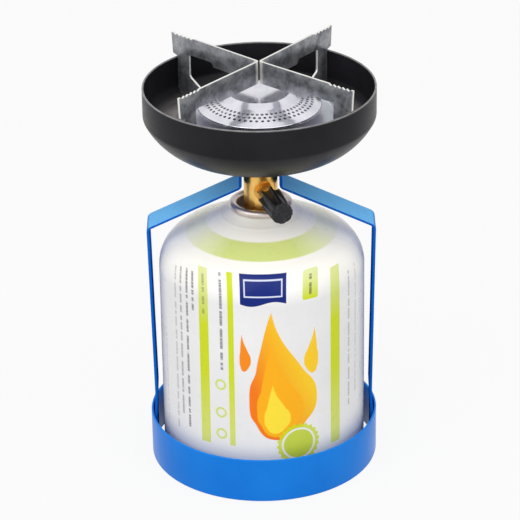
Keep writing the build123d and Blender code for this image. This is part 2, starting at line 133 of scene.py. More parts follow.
# Crimped cup and its boss
cup_sheet = 0.5 * mm
cup_curl_end = -48
cup_floor_height = 139.0 * mm
cup_well_radius = 12.6 * mm
cup_well_rounding = 1.2 * mm
cup_wall_foot = 1.4 * mm
cup_under_foot = 0.7 * mm
boss_foot_rounding = 0.8 * mm
boss_radius = 5.55 * mm
boss_top = 147.5 * mm
boss_bevel = 0.5 * mm
boss_wall = 1.15 * mm
boss_roof = 1.0 * mm
boss_mouth_radius = 2.2 * mm
thread_start = 1.2 * mm
thread_pitch = 0.907 * mm
thread_depth = 0.3 * mm

# Valve body and knob
valve_neck_radius = 5.0 * mm
valve_shoulder = 175.3 * mm
valve_bevel = 0.5 * mm
valve_fine_bevel = 0.12 * mm
socket_radius = 5.63 * mm
socket_roof = 148.8 * mm
control_height = 156.5 * mm
control_azimuth = math.radians(-73.5)
pocket_radius = 5.7 * mm
pocket_face = 6.6 * mm
knob_start = 18.0 * mm
knob_length = 20.0 * mm
knob_back_radius = 6.6 * mm
knob_front_radius = 5.75 * mm
knob_bore_radius = 2.0 * mm
knob_bore_depth = 28 * mm
knob_bevel = 0.35 * mm
knob_flutes = 8
flute_radius = 2.2 * mm
flute_back_reach = 7.0 * mm
flute_front_reach = 7.7 * mm
flute_length = 1.2 * knob_length

# Camera, floor and lamps. A lamp has a name, a place, a size in metres and a power in watts.
camera_place = (0, -1.280, 0.740)
camera_lens = 185.7
camera_shift = -0.0033
camera_look_down = 26.12
camera_roll = -0.84
floor_size = 8.0
floor_height = -0.0002
lamp_aim = (0, 0, 0.12)
lamps = (("left_box", (-1.0, -1.3, 1.7), 2.0, 23), ("right_box", (1.0, -1.25, 1.6), 2.0, 14),
         ("top_box", (0.1, 0.2, 1.7), 3.0, 3))


def to_mode(mode):
    """Changes the active piece between OBJECT and EDIT mode."""
    bpy.ops.object.mode_set(mode=mode)


def shade_smooth(degrees):
    """Shades the active piece smooth, but for the edges that are sharper than this."""
    bpy.ops.object.shade_smooth_by_angle(angle=math.radians(degrees))


def start_fresh():
    """Leaves edit mode and selects nothing, since operators act on all that is selected."""
    if bpy.context.mode != "OBJECT":
        to_mode("OBJECT")
    bpy.ops.object.select_all(action="DESELECT")


def pick(piece):
    """Selects this piece alone and makes it the active one."""
    start_fresh()
    piece.select_set(True)
    bpy.context.view_layer.objects.active = piece


def open_piece(name):
    """Names the active piece, puts its place in its mesh and opens it for editing."""
    piece = bpy.context.object
    piece.name = name
    piece.data.name = name
    bpy.ops.object.transform_apply(location=True, rotation=True, scale=True)
    to_mode("EDIT")
    bpy.ops.mesh.select_all(action="SELECT")
    return piece


def close_piece(piece, merge=merge_distance, smooth=smooth_angle):
    """Merges what meets, turns the faces outwards, and shades smooth up to an angle."""
    bpy.ops.mesh.select_all(action="SELECT")
    bpy.ops.mesh.remove_doubles(threshold=merge)
    bpy.ops.mesh.delete_loose()
    bpy.ops.mesh.select_all(action="SELECT")
    bpy.ops.mesh.normals_make_consistent(inside=False)
    to_mode("OBJECT")
    shade_smooth(smooth)
    return piece


def use_modifier(piece, kind, **settings):
    """Adds a modifier with these settings and applies it."""
    pick(piece)
    modifier = piece.modifiers.new(kind.lower(), kind)
    for name, value in settings.items():
        setattr(modifier, name, value)
    bpy.ops.object.modifier_apply(modifier=modifier.name)


def break_edges(piece, width, segments, sharper_than):
    """Bevels the edges that are sharper than an angle in degrees."""
    use_modifier(piece, "BEVEL", width=width, segments=segments, limit_method="ANGLE",
                 angle_limit=math.radians(sharper_than))


def cut_with(piece, cutter):
    """Takes the cutter's room out of the piece, and removes the cutter."""
    use_modifier(piece, "BOOLEAN", operation="DIFFERENCE", object=cutter)
    start_fresh()
    cutter.select_set(True)
    bpy.ops.object.delete()


def drill(piece, name, **cylinder):
    """Takes a cylinder's room out of the piece."""
    start_fresh()
    bpy.ops.mesh.primitive_cylinder_add(**cylinder)
    cut_with(piece, close_piece(open_piece(name)))


def spin_round(copies):
    """Repeats the open mesh round the upright axis."""
    bpy.ops.mesh.spin(steps=copies, angle=2 * math.pi, dupli=True, center=(0, 0, 0),
                      axis=(0, 0, 1))
    bpy.ops.mesh.select_all(action="SELECT")


def arc(centre, radius, start, end, steps=6):
    """Points of an arc in a section, with its angles in degrees."""
    turns = [math.radians(start + (end - start) * step / steps) for step in range(steps + 1)]
    return [(centre[0] + radius * math.cos(turn), centre[1] + radius * math.sin(turn))
            for turn in turns]


def rounded_band(inner, outer, low, high, edge):
    """Section of a band with rounded edges, as points (radius, height)."""
    return (arc((outer - edge, low + edge), edge, -90, 0)
            + arc((outer - edge, high - edge), edge, 0, 90)
            + arc((inner + edge, high - edge), edge, 90, 180)
            + arc((inner + edge, low + edge), edge, 180, 270))


def bent_path(corners, radii):
    """Path through corners, each rounded with its own radius."""
    points = [Vector(corners[0])]
    for before, corner, after, radius in zip(corners, corners[1:], corners[2:], radii):
        corner = Vector(corner)
        back = (Vector(before) - corner).normalized()
        on = (Vector(after) - corner).normalized()
        half = back.angle(on) / 2
        centre = corner + (back + on).normalized() * radius / math.sin(half)
        start = corner + back * radius / math.tan(half) - centre
        turn = start.angle_signed(corner + on * radius / math.tan(half) - centre)
        for step in range(bend_steps + 1):
            points.append(centre + Matrix.Rotation(-turn * step / bend_steps, 2) @ start)
    return [tuple(point) for point in points] + [tuple(corners[-1])]


def sheet_section(line, sheet):
    """Closed section of a sheet: the line is one skin, and the other lies to its left."""
    points = [Vector(point) for point in line]
    runs = [(there - here).normalized() for here, there in zip(points, points[1:])]
    other = []
    for point, before, after in zip(points, runs[:1] + runs, runs + runs[-1:]):
        side = Vector((-before.y, before.x))
        middle = (side + Vector((-after.y, after.x))).normalized()
        other.append(point + middle * sheet / middle.dot(side))
    return line + [tuple(point) for point in reversed(other)]


def turned(name, section, closed=True, segments=round_segments, smooth=smooth_angle):
    """Form of revolution: a circle drawn out ring by ring along (radius, height) points."""
    pole = 0.001 * mm
    start_fresh()
    radius, height = section[0]
    radius = max(radius, pole)
    bpy.ops.mesh.primitive_circle_add(vertices=segments, radius=radius, location=(0, 0, height))
    piece = open_piece(name)
    for next_radius, next_height in (section[1:] + section[:1] if closed else section[1:]):
        next_radius = max(next_radius, pole)
        bpy.ops.mesh.extrude_edges_move(
            TRANSFORM_OT_translate={"value": (0, 0, next_height - height)})
        grow = next_radius / radius
        bpy.ops.transform.resize(value=(grow, grow, 1), center_override=(0, 0, next_height))
        radius, height = next_radius, next_height
    return close_piece(piece, smooth=smooth)


def install(piece, node):
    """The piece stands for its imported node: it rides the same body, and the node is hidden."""
    start_fresh()
    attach(piece, body_of[node])
    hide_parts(node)
    return piece


def make_ring():
    """Blue band that stands round the cartridge's foot."""
    section = rounded_band(ring_high.x - ring_sheet, ring_high.x, ring_low.z, ring_high.z,
                           ring_edge)
    return install(turned("base_band", section), "base_ring")


def make_strap():
    """Blue strip bent over the cartridge, with its saddle under the bowl."""
    foot, foot_top, joggle_top, corner, saddle, web = strap_heights
    right = [(strap_saddle, web), (strap_saddle, saddle), (strap_corner, corner),
             (strap_waist, joggle_top), (strap_foot, foot_top), (strap_foot, foot)]
    left = [(-x, z) for x, z in reversed(right)]
    path = bent_path(left + right, strap_bends + strap_bends[::-1])
    start = (path[0][0], 0, path[0][1])
    start_fresh()
    bpy.ops.mesh.primitive_plane_add(size=strap_width, location=start,
                                     rotation=(0, math.radians(90), 0))
    piece = open_piece("strap")
    bpy.ops.transform.resize(value=(1, 1, 0), center_override=start)
    bpy.ops.mesh.remove_doubles(threshold=strap_merge)
    for here, there in zip(path, path[1:]):
        bpy.ops.mesh.extrude_edges_move(TRANSFORM_OT_translate={
            "value": (there[0] - here[0], 0, there[1] - here[1])})
    close_piece(piece)
    use_modifier(piece, "SOLIDIFY", thickness=strap_sheet, offset=0, use_even_offset=True)
    break_edges(piece, strap_bevel, 3, 40)
    drill(piece, "neck_hole", vertices=48, radius=neck_hole_radius, depth=neck_hole_depth,
          location=(0, 0, web))
    pick(piece)
    shade_smooth(smooth_angle)
    return install(piece, "cradle_strap")


def bowl_outer_skin():
    """Outer skin of the bowl, from its hole to the top of its knuckle."""
    dish_height = bowl_low.z + bowl_dish_radius
    reach = bowl_high.x - bowl_knuckle_radius - bowl_flat_radius
    angle = math.degrees(math.acos(reach / (bowl_dish_radius - bowl_knuckle_radius)))
    knuckle_height = dish_height - reach * math.tan(math.radians(angle))
    knuckle = (bowl_high.x - bowl_knuckle_radius, knuckle_height)
    return ([(neck_hole_radius, bowl_low.z)]
            + arc((bowl_flat_radius, dish_height), bowl_dish_radius, -90, -angle, 20)
            + arc(knuckle, bowl_knuckle_radius, -angle, 0, 8)[1:])


def make_bowl():
    """Pressed windshield bowl with a rolled-smooth rim."""
    edge = bowl_sheet / 2
    skin = bowl_outer_skin() + [(bowl_high.x, bowl_high.z - edge)]
    closed = sheet_section(skin, bowl_sheet)
    rim = arc((bowl_high.x - edge, bowl_high.z - edge), edge, 0, 180, 8)
    section = skin[:-1] + rim + closed[len(skin) + 1:]
    return install(turned("bowl", section, smooth=50), "windshield_bowl")


def make_support(node, name):
    """Folded plate of the pot support, with its edges broken."""
    piece = bpy.data.objects.new(name, frame["nodes"][node].data.copy())
    bpy.context.scene.collection.objects.link(piece)
    pick(piece)
    open_piece(name)
    bpy.ops.mesh.remove_doubles(threshold=merge_distance)
    bpy.ops.mesh.dissolve_limited(angle_limit=math.radians(2))
    break_edges(piece, support_bevel, 2, 40)
    shade_smooth(30)
    return install(piece, node)


def crown_height(radius):
    """Height of the crown's cone at a radius."""
    share = (crown_high.x - radius) / (crown_high.x - crown_step_radius)
    return crown_edge_height + share * (crown_step_height - crown_edge_height)


def select_where(piece, chosen):
    """Selects the open piece's vertices whose place is chosen."""
    bpy.ops.mesh.select_all(action="DESELECT")
    to_mode("OBJECT")
    for vertex in piece.data.vertices:
        vertex.select = chosen(vertex.co)
    to_mode("EDIT")


def make_port_row(name, radius, start_turn):
    """One row of flame ports: a cell with a round hole, spun round the burner."""
    slope = math.atan2(crown_step_height - crown_edge_height, crown_high.x - crown_step_radius)
    length = port_row_width / math.cos(slope)
    width = 2 * radius * math.tan(math.pi / ports_per_row)
    columns = 4
    hole_share = 0.3
    near = length / (4 * columns)
    start_fresh()
    bpy.ops.mesh.primitive_grid_add(x_subdivisions=columns, y_subdivisions=columns, size=1)
    piece = open_piece(name)
    bpy.ops.transform.resize(value=(length, width, 1), center_override=(0, 0, 0))
    for column in range(-columns // 2, columns // 2 + 1):
        select_where(piece, lambda place: abs(place.x - column * length / columns) < near)
        widen = 1 + column * port_row_width / columns / radius
        bpy.ops.transform.resize(value=(1, widen, 1), center_override=(0, 0, 0))
    select_where(piece, lambda place: place.length < near)
    bpy.ops.mesh.delete(type="VERT")
    select_where(piece, lambda place: max(abs(place.x) / length, abs(place.y) / width) < hole_share)
    bpy.ops.mesh.select_mode(type="VERT")
    bpy.ops.transform.tosphere(value=1, center_override=(0, 0, 0))
    to_mode("OBJECT")
    reaches = [vertex.co.length for vertex in piece.data.vertices if vertex.select]
    to_mode("EDIT")
    shrink = port_radius / (sum(reaches) / len(reaches))
    bpy.ops.transform.resize(value=(shrink,) * 3, center_override=(0, 0, 0))
    to_mode("OBJECT")
    piece.rotation_euler = (0, slope, 0)
    piece.location = (radius, 0, crown_height(radius))
    open_piece(name)
    spin_round(ports_per_row)
    bpy.ops.mesh.remove_doubles(threshold=port_merge)
    to_mode("OBJECT")
    piece.rotation_euler = (0, 0, start_turn)
    open_piece(name)
    to_mode("OBJECT")
    return piece


def make_crown():
    """Burner cap: raised disc, step, cone with three rows of ports, and the crimped edge."""
    segments = 4 * ports_per_row
    inner_end = port_rows[0] - port_row_width / 2
    outer_start = port_rows[-1] + port_row_width / 2
    flat_end = crown_disc_radius - crown_disc_margin
    disc_edge = (flat_end, crown_high.z - crown_disc_rounding)
    step_foot = crown_step_radius + crown_step_foot
    piece = turned("burner_cap", [(0, crown_high.z), (flat_end, crown_high.z)]
                   + arc(disc_edge, crown_disc_rounding, 80, 40, 3)
                   + [(crown_step_radius - crown_slope_run, crown_step_height + crown_slope_rise),
                      (crown_step_radius, crown_step_height),
                      (step_foot, crown_height(step_foot)), (inner_end, crown_height(inner_end))],
                   closed=False, segments=segments)
    edge = crown_edge_rounding
    cone_end = crown_high.x - crown_cone_margin
    bend = crown_high.x - crown_bend_margin
    margin = turned("burner_edge", [(outer_start, crown_height(outer_start)),
                                    (cone_end, crown_height(cone_end)),
                                    (bend, crown_height(bend) - crown_bend_drop)]
                    + arc((crown_high.x - edge, crown_edge_height - edge), edge, 75, 0, 4)
                    + [(crown_high.x, crown_low.z + crown_crimp_rise),
                       (crown_high.x - crown_crimp_reach, crown_low.z)],
                    closed=False, segments=segments)
    rows = [make_port_row(f"port_row_{number + 1}", radius, number % 2 * math.pi / ports_per_row)
            for number, radius in enumerate(port_rows)]
    pick(piece)
    for part in [margin] + rows:
        part.select_set(True)
    bpy.ops.object.join()
    to_mode("EDIT")
    close_piece(piece, merge=crown_merge)
    if min(piece.data.polygons, key=lambda face: face.center.xy.length).normal.z < 0:
        to_mode("EDIT")
        bpy.ops.mesh.select_all(action="SELECT")
        bpy.ops.mesh.flip_normals()
        to_mode("OBJECT")
    use_modifier(piece, "SOLIDIFY", thickness=crown_sheet, offset=-1, use_even_offset=True)
    shade_smooth(28)
    return install(piece, "burner_crown")


def make_pan():
    """Drip pan: shallow dish with a raised and rolled rim."""
    edge = pan_sheet / 2
    skin = ([(pan_hole_radius, pan_low.z), (pan_flat_share * pan_high.x, pan_low.z)]
            + [(pan_high.x - inwards, pan_low.z + up) for inwards, up in pan_rise]
            + [(pan_high.x, pan_high.z - edge)])
    closed = sheet_section(skin, pan_sheet)
    rim = arc((pan_high.x - edge, pan_high.z - edge), edge, 0, 180)
    return install(turned("pan", skin[:-1] + rim + closed[len(skin) + 1:]), "drip_pan")


def make_valve():
    """Turned brass body with its socket, neck and spot-faced pocket."""
    bevel = valve_bevel
    section = [(0, socket_roof), (socket_radius, socket_roof), (socket_radius, valve_low.z),
               (valve_high.x - bevel, valve_low.z), (valve_high.x, valve_low.z + bevel),
               (valve_high.x, valve_shoulder - bevel), (valve_high.x - bevel, valve_shoulder),
               (valve_neck_radius, valve_shoulder), (valve_neck_radius, valve_high.z - bevel),
               (valve_neck_radius - bevel, valve_high.z), (0, valve_high.z)]
    piece = turned("brass_body", section, closed=False, segments=128)
    across = Vector((math.cos(control_azimuth), math.sin(control_azimuth), 0))
    depth = 2 * valve_high.x
    drill(piece, "pocket", vertices=96, radius=pocket_radius, depth=depth,
          rotation=(0, math.radians(90), control_azimuth),
          location=across * (pocket_face + depth / 2) + Vector((0, 0, control_height)))
    break_edges(piece, valve_fine_bevel, 2, 30)
    shade_smooth(30)
    return install(piece, "valve_body")


def make_knob():
    """Tapered black knob with deep flutes and a flat end."""
    middle = knob_start + knob_length / 2
    start_fresh()
    bpy.ops.mesh.primitive_cone_add(vertices=96, radius1=knob_back_radius,
                                    radius2=knob_front_radius, depth=knob_length,
                                    location=(0, 0, middle))
    piece = close_piece(open_piece("knob"))
    start_fresh()
    lean = math.atan((flute_front_reach - flute_back_reach) / knob_length)
    bpy.ops.mesh.primitive_cylinder_add(
        vertices=40, radius=flute_radius, depth=flute_length, rotation=(0, lean, 0),
        location=((flute_back_reach + flute_front_reach) / 2, 0, middle))
    cutter = open_piece("flutes")
    spin_round(knob_flutes)
    bpy.ops.transform.rotate(value=math.pi / knob_flutes, orient_axis="Z",
                             center_override=(0, 0, 0))
    cut_with(piece, close_piece(cutter))
    drill(piece, "bore", vertices=32, radius=knob_bore_radius, depth=knob_bore_depth,
          location=(0, 0, knob_start))
    break_edges(piece, knob_bevel, 3, 30)
    shade_smooth(40)
    piece.rotation_euler = (0, math.radians(90), control_azimuth)
    piece.location = (0, 0, control_height)
    open_piece("knob")
    to_mode("OBJECT")
    return install(piece, "control_knob")


def make_can():
    """Drawn shell of the cartridge: wall, round shoulder, cone with a ripple, neck and bead."""
    centre = (can_high.x - can_shoulder_radius, can_wall_top)
    shoulder = arc(centre, can_shoulder_radius, 0, 90 - math.degrees(can_slope), 20)
    start_radius, start_height = shoulder[-1]

    def cone_height(radius):
        return start_height + (start_radius - radius) * math.tan(can_slope)

    ripple = []
    for step in range(can_ripple_steps + 1):
        share = step / (can_ripple_steps / 2) - 1
        radius = can_ripple_radius - can_ripple_width * share
        lift = can_ripple_height * (1 + math.cos(math.pi * share)) / 2
        ripple.append((radius, cone_height(radius) + lift))
    neck_height = cone_height(can_neck_foot)
    skin = [(can_high.x, height) for height in (can_low.z, *can_wall_rows)] + shoulder + ripple
    skin += [(can_neck_foot, neck_height), (can_neck_radius, neck_height + can_neck_rise)]
    section = sheet_section(skin, can_wall)
    bead = arc(can_bead_centre, can_bead_radius, -60, 240, 10)
    section = section[:len(skin)] + bead + section[len(skin) + 1:]
    return install(turned("can", section, smooth=40), "cartridge_shell")


def make_cup():
    """Crimped cup: rolled curl over the bead, well, and the boss with its thread."""
    curl_width = (cup_high.x - cup_well_radius) / 2
    curl_centre = (cup_well_radius + curl_width, cup_high.z - curl_width)
    outer = arc(curl_centre, curl_width, cup_curl_end, 180, 18)
    rounding, foot = cup_well_rounding, boss_foot_rounding
    well = [(cup_well_radius, cup_floor_height + cup_wall_foot)]
    well += arc((cup_well_radius - rounding, cup_floor_height + rounding), rounding, 0, -90, 4)
    well += arc((boss_radius + foot, cup_floor_height + foot), foot, -90, -180, 3)
    thread = []
    height = cup_floor_height + thread_start
    while height < boss_top - thread_pitch:
        thread += [(boss_radius - thread_depth, height), (boss_radius, height + thread_pitch / 2)]
        height += thread_pitch
    lip = [(boss_radius - boss_bevel, boss_top), (boss_mouth_radius, boss_top),
           (boss_mouth_radius, boss_top - boss_roof),
           (boss_radius - boss_wall, boss_top - boss_roof),
           (boss_radius - boss_wall, cup_floor_height - cup_sheet)]
    under = [(cup_well_radius - rounding, cup_floor_height - cup_sheet),
             (cup_well_radius + cup_sheet, cup_floor_height + cup_under_foot)]
    inside = arc(curl_centre, curl_width - cup_sheet, 180, cup_curl_end, 14)
    section = outer + well + thread + lip + under + inside
    return install(turned("crimped_cup", section, smooth=40), "valve_cup")


def paint(red, green, blue):
    """Colour as a paint card gives it, 0 to 255, turned into light."""
    return tuple(((v / 255 + 0.055) / 1.055) ** 2.4 if v > 10 else v / 255 / 12.92
                 for v in (red, green, blue)) + (1,)


def set_sockets(node, **values):
    """Sets constant inputs of a node; an underscore stands for a blank."""
    for socket, value in values.items():
        node.inputs[socket.replace("_", " ")].default_value = value


class Finish:
    """Procedural material on the piece's own Object coordinates, in a paint card's colours."""

    def __init__(self, name, color, roughness, **sockets):
        self.material = bpy.data.materials.new(name)
        self.material.use_nodes = True
        self.tree = self.material.node_tree
        self.shader = self.tree.nodes["Principled BSDF"]
        set_sockets(self.shader, Base_Color=paint(*color), Roughness=roughness, **sockets)
        coordinates = self.node("TexCoord", {})
        self.place = coordinates.outputs["Object"]
        self.normal = coordinates.outputs["Normal"]
        self.x, self.y, self.z = self.node("SeparateXYZ", {0: self.place}).outputs
        self.radius = self.length(self.x, self.y)
        self.turn = self.math("ARCTAN2", self.x, self.times(self.y, -1.0))

    def node(self, kind, inputs, **properties):
        """New node, each input linked to a socket or set to a value."""
        node = self.tree.nodes.new("ShaderNode" + kind)
        for name, value in properties.items():
            setattr(node, name, value)
        for key, value in inputs.items():
            if isinstance(value, bpy.types.NodeSocket):
                self.tree.links.new(value, node.inputs[key])
            else:
                node.inputs[key].default_value = value
        return node

    def math(self, operation, a, b=None, c=None, clamp=False):
        inputs = {key: value for key, value in enumerate((a, b, c)) if value is not None}
        return self.node("Math", inputs, operation=operation, use_clamp=clamp).outputs[0]

    def times(self, a, b):
        return self.math("MULTIPLY", a, b)

    def minus(self, a, b):
        return self.math("SUBTRACT", a, b)

    def length(self, a, b):
        """Longest side of a right-angled triangle with these two sides."""
        return self.math("SQRT", self.math("ADD", self.times(a, a), self.times(b, b)))

    def wave(self, value, pace, size, middle=0.0):
        """Sine wave of this size about its middle."""
        return self.math("MULTIPLY_ADD", self.math("SINE", self.times(value, pace)), size, middle)

    def share(self, value, low, high, to_low=0.0, to_high=1.0):
        """How far a value lies from low to high, carried over to another range."""
        inputs = {"Value": value, "From Min": low, "From Max": high, "To Min": to_low,
                  "To Max": to_high}
        return self.node("MapRange", inputs).outputs["Result"]

    def facing_up(self):
        """1 where the surface looks up, 0 sideways, -1 down."""
        return self.node("SeparateXYZ", {0: self.normal}).outputs[2]

    def noise(self, scale, detail, stretch=(1, 1, 1), shift=0.0, place=None):
        """Cloudy pattern from 0 to 1, its scale in waves per metre."""
        mapping = self.node("Mapping", {"Vector": place or self.place, "Scale": stretch,
                                        "Location": (shift, shift / 2, shift / 3)})
        inputs = {"Vector": mapping.outputs[0], "Scale": scale, "Detail": detail}
        return self.node("TexNoise", inputs).outputs["Fac"]

    def grains(self, scale):
        """Distance from the middle of the nearest grain."""
        inputs = {"Vector": self.place, "Scale": scale}
        return self.node("TexVoronoi", inputs).outputs["Distance"]

    def round_lines(self, scale, around):
        """Fine marks that run round the axis, as a lathe or a spinning brush leaves them."""
        inputs = {"X": self.times(self.turn, around / scale), "Y": self.z, "Z": self.radius}
        return self.noise(scale, 3, place=self.node("CombineXYZ", inputs).outputs[0])

    def mix(self, share, a, b):
        """Colour between two others."""
        ends = [end if isinstance(end, bpy.types.NodeSocket) else paint(*end) for end in (a, b)]
        inputs = {0: share, 6: ends[0], 7: ends[1]}
        return self.node("Mix", inputs, data_type="RGBA").outputs[2]

    def blend(self, pattern, low, high, a, b):
        """Colour that goes from a to b while a pattern goes from low to high."""
        return self.mix(self.share(pattern, low, high), a, b)

    def close(self, color, roughness, height, depth):
        """Feeds the shader: a colour, a roughness or None, and a relief in metres."""
        bump = self.node("Bump", {"Height": height, "Distance": depth, "Strength": 1.0})
        fed = {"Base Color": color, "Roughness": roughness, "Normal": bump.outputs[0]}
        for socket, value in fed.items():
            if value is not None:
                self.tree.links.new(value, self.shader.inputs[socket])
        return self

    def onto(self, *pieces):
        """Gives the material to pieces, in every slot that they have."""
        for piece in pieces:
            if not piece.material_slots:
                piece.data.materials.append(self.material)
            for slot in piece.material_slots:
                slot.material = self.material


def blue_enamel(name, deep, pale, painted_top_light, shine):
    """Stove enamel with orange peel and faint handling marks, painted paler where it looks up, as
    top light.
    """
    finish = Finish(name, pale, 0.3, Specular_IOR_Level=shine)
    upright = finish.blend(finish.noise(28, 3), 0.3, 0.7, deep, pale)
    # painted light: faces that look up blend to the paler top colour
    body = finish.blend(finish.facing_up(), 0.3, 0.8, upright, painted_top_light)
    rub = finish.noise(160, 4, stretch=(1, 1, 0.25), shift=3.1)
    return finish.close(finish.mix(finish.share(rub, 0.5, 0.8, 0.0, 0.12), body, deep),
                        finish.share(rub, 0.35, 0.75, 0.28, 0.35),
                        finish.noise(850, 2), 0.005 * mm)


def bowl_enamel():
    """Charcoal enamel over pressed steel: fine lines round it, a greyer underside as painted
    reflection of the floor, a floor made paler inside as painted sheen, and a paler, patchy rim."""
    finish = Finish("bowl_enamel", (36, 36, 40), 0.34, Specular_IOR_Level=0.14)
    lines = finish.round_lines(2600, around=9)
    cloud = finish.noise(35, 3)
    body = finish.blend(cloud, 0.3, 0.7, (20, 20, 24), (31, 30, 35))
    # painted reflection: the lower bowl turns greyer, standing in for the pale floor it mirrors
    painted_underside_reflection = finish.mix(cloud, (50, 47, 48), (66, 62, 63))
    body = finish.blend(finish.z, bowl_low.z + 20 * mm, bowl_low.z + 5 * mm, body, painted_underside_reflection)
    # painted sheen: the upward floor inside the bowl is painted pale grey, standing in for the
    # bright surroundings it mirrors
    inside = finish.share(finish.radius, bowl_high.x - 3 * mm, bowl_high.x - 9 * mm)
    painted_floor_sheen_mask = finish.times(finish.share(finish.facing_up(), 0.35, 0.8), inside)
    rings = finish.round_lines(420, around=3)
    painted_floor_sheen = finish.blend(rings, 0.3, 0.7, (140, 134, 136), (182, 174, 174))
    body = finish.mix(painted_floor_sheen_mask, body, painted_floor_sheen)
    # the top of the rim turns a paler grey in patches
    rim = finish.share(finish.z, bowl_high.z - 0.8 * mm, bowl_high.z - 0.3 * mm)
    pale_rim_patches = finish.times(rim, finish.share(finish.noise(240, 3), 0.25, 0.6, 0.6, 1.0))
    return finish.close(finish.mix(pale_rim_patches, body, (140, 140, 142)),
                        finish.share(lines, 0.3, 0.7, 0.28, 0.42), lines, 0.006 * mm)


def zinc_plate():
    """Dull zinc plate: cloudy blooms, faint spangle, paler sheared edges, and a painted highlight
    on the fold.
    """
    finish = Finish("support_zinc", (136, 139, 146), 0.3, Metallic=0.65)
    mottle = finish.math("MULTIPLY_ADD", finish.grains(420.0), 0.25, finish.noise(150, 4))
    body = finish.blend(mottle, 0.4, 0.8, (104, 107, 114), (170, 172, 175))
    grain = finish.share(finish.noise(1100, 3, shift=5.0), 0.3, 0.7, 0.0, 0.4)
    body = finish.mix(grain, body, (100, 103, 110))
    level_place = finish.node("CombineXYZ", {"X": finish.x, "Y": finish.y}).outputs[0]
    outwards = finish.node("VectorMath", {0: level_place}, operation="NORMALIZE").outputs[0]
    facing_out = finish.node("VectorMath", {0: outwards, 1: finish.normal},
                             operation="DOT_PRODUCT").outputs["Value"]
    end_faces = finish.times(finish.share(finish.math("ABSOLUTE", facing_out), 0.6, 0.85),
                             finish.share(finish.radius, 6 * mm, 7 * mm))
    level = finish.share(finish.math("ABSOLUTE", finish.facing_up()), 0.5, 0.8)
    # painted highlight: the rounded fold near the axis is made pale, as if it caught the light
    painted_fold_highlight = finish.share(finish.radius, 3.4 * mm, 2.2 * mm, 0.0, 0.8)
    # pale holds the sheared edges and the painted fold highlight
    pale = finish.math("MAXIMUM", level, finish.math("MAXIMUM", end_faces, painted_fold_highlight))
    return finish.close(finish.mix(pale, body, (226, 226, 222)),
                        finish.math("MAXIMUM", finish.share(mottle, 0.4, 0.85, 0.29, 0.4),
                                    finish.times(pale, 0.45)),
                        finish.noise(110, 2, shift=1.7), 0.05 * mm)


def nickel_plate(name, roughness):
    """Bright plate on a spun cap, with faint rings."""
    finish = Finish(name, (214, 213, 222), roughness, Metallic=1.0)
    rings = finish.round_lines(2200, around=4)
    return finish.close(
        finish.blend(finish.noise(90, 4), 0.35, 0.75, (222, 221, 228), (202, 201, 212)),
        finish.share(rings, 0.3, 0.75, roughness * 0.8, roughness * 1.7), rings, 0.004 * mm)


def pan_plate():
    """Satin plate of the drip pan, darker and warmer towards the middle as painted shade, and paler
    and bluer towards the rim as painted reflection.
    """
    finish = Finish("pan_plate", (206, 209, 218), 0.36, Metallic=1.0)
    rings = finish.round_lines(1800, around=5)
    uneven = finish.math("MULTIPLY_ADD", finish.noise(60, 3), 8 * mm, finish.radius)
    # painted shade and reflection: the colour runs from the darker middle to the paler, bluer rim
    return finish.close(
        finish.blend(uneven, 24 * mm, 42 * mm, (214, 209, 215), (222, 226, 234)),
        finish.share(rings, 0.3, 0.7, 0.3, 0.46), rings, 0.005 * mm)


def turned_brass(name):
    """Brass as it left the lathe: fine rings, a warm bloom and darker handling spots."""
    finish = Finish(name, (238, 194, 114), 0.34, Metallic=1.0)
    rings = finish.round_lines(3000, around=3)
    spots = finish.share(finish.noise(700, 4, shift=2.2), 0.64, 0.76)
    body = finish.blend(finish.noise(150, 4), 0.3, 0.7, (236, 184, 96), (247, 204, 122))
    return finish.close(finish.mix(finish.times(spots, 0.2), body, (150, 110, 56)),
                        finish.share(rings, 0.3, 0.75, 0.28, 0.4), rings, 0.003 * mm)


def knob_plastic():
    """Black moulded plastic with a fine grain, scuffed a little at its end."""
    finish = Finish("knob_plastic", (26, 26, 29), 0.42, Specular_IOR_Level=0.3)
    reach = finish.math("ADD", finish.times(finish.x, math.cos(control_azimuth)),
                        finish.times(finish.y, math.sin(control_azimuth)))
    knob_end = knob_start + knob_length
    end = finish.share(reach, knob_end - 1.0 * mm, knob_end - 0.3 * mm)
    scuff = finish.times(end, finish.share(finish.noise(900, 5, shift=4.0), 0.52, 0.7))
    return finish.close(
        finish.mix(scuff, (27, 27, 30), (62, 62, 67)),
        finish.share(finish.noise(300, 3), 0.3, 0.7, 0.34, 0.5),
        finish.math("ADD", finish.noise(2400, 3), finish.times(scuff, 2.0)), 0.02 * mm)


def tinplate(name):
    """Bare tinplate: soft rings from drawing and a few dull patches."""
    finish = Finish(name, (196, 187, 183), 0.4, Metallic=0.85)
    dull = finish.noise(110, 4)
    return finish.close(finish.blend(dull, 0.4, 0.8, (216, 205, 200), (188, 175, 171)),
                        finish.share(dull, 0.3, 0.8, 0.34, 0.46),
                        finish.round_lines(1500, around=4), 0.006 * mm)


def plain_steel():
    """Zinc-plated small steel parts, slightly cloudy."""
    finish = Finish("small_steel", (176, 178, 182), 0.3, Metallic=1.0)
    cloud = finish.noise(260, 4)
    return finish.close(finish.blend(cloud, 0.3, 0.7, (158, 160, 168), (192, 193, 194)),
                        finish.share(cloud, 0.3, 0.7, 0.22, 0.42),
                        finish.noise(1800, 2), 0.008 * mm)


def seal_rubber():
    """Black nitrile rubber with a dusty skin."""
    finish = Finish("seal_rubber", (28, 28, 28), 0.7)
    dust = finish.noise(800, 4)
    return finish.close(finish.blend(dust, 0.45, 0.75, (24, 24, 25), (44, 43, 42)), None,
                        finish.noise(2600, 3), 0.02 * mm)


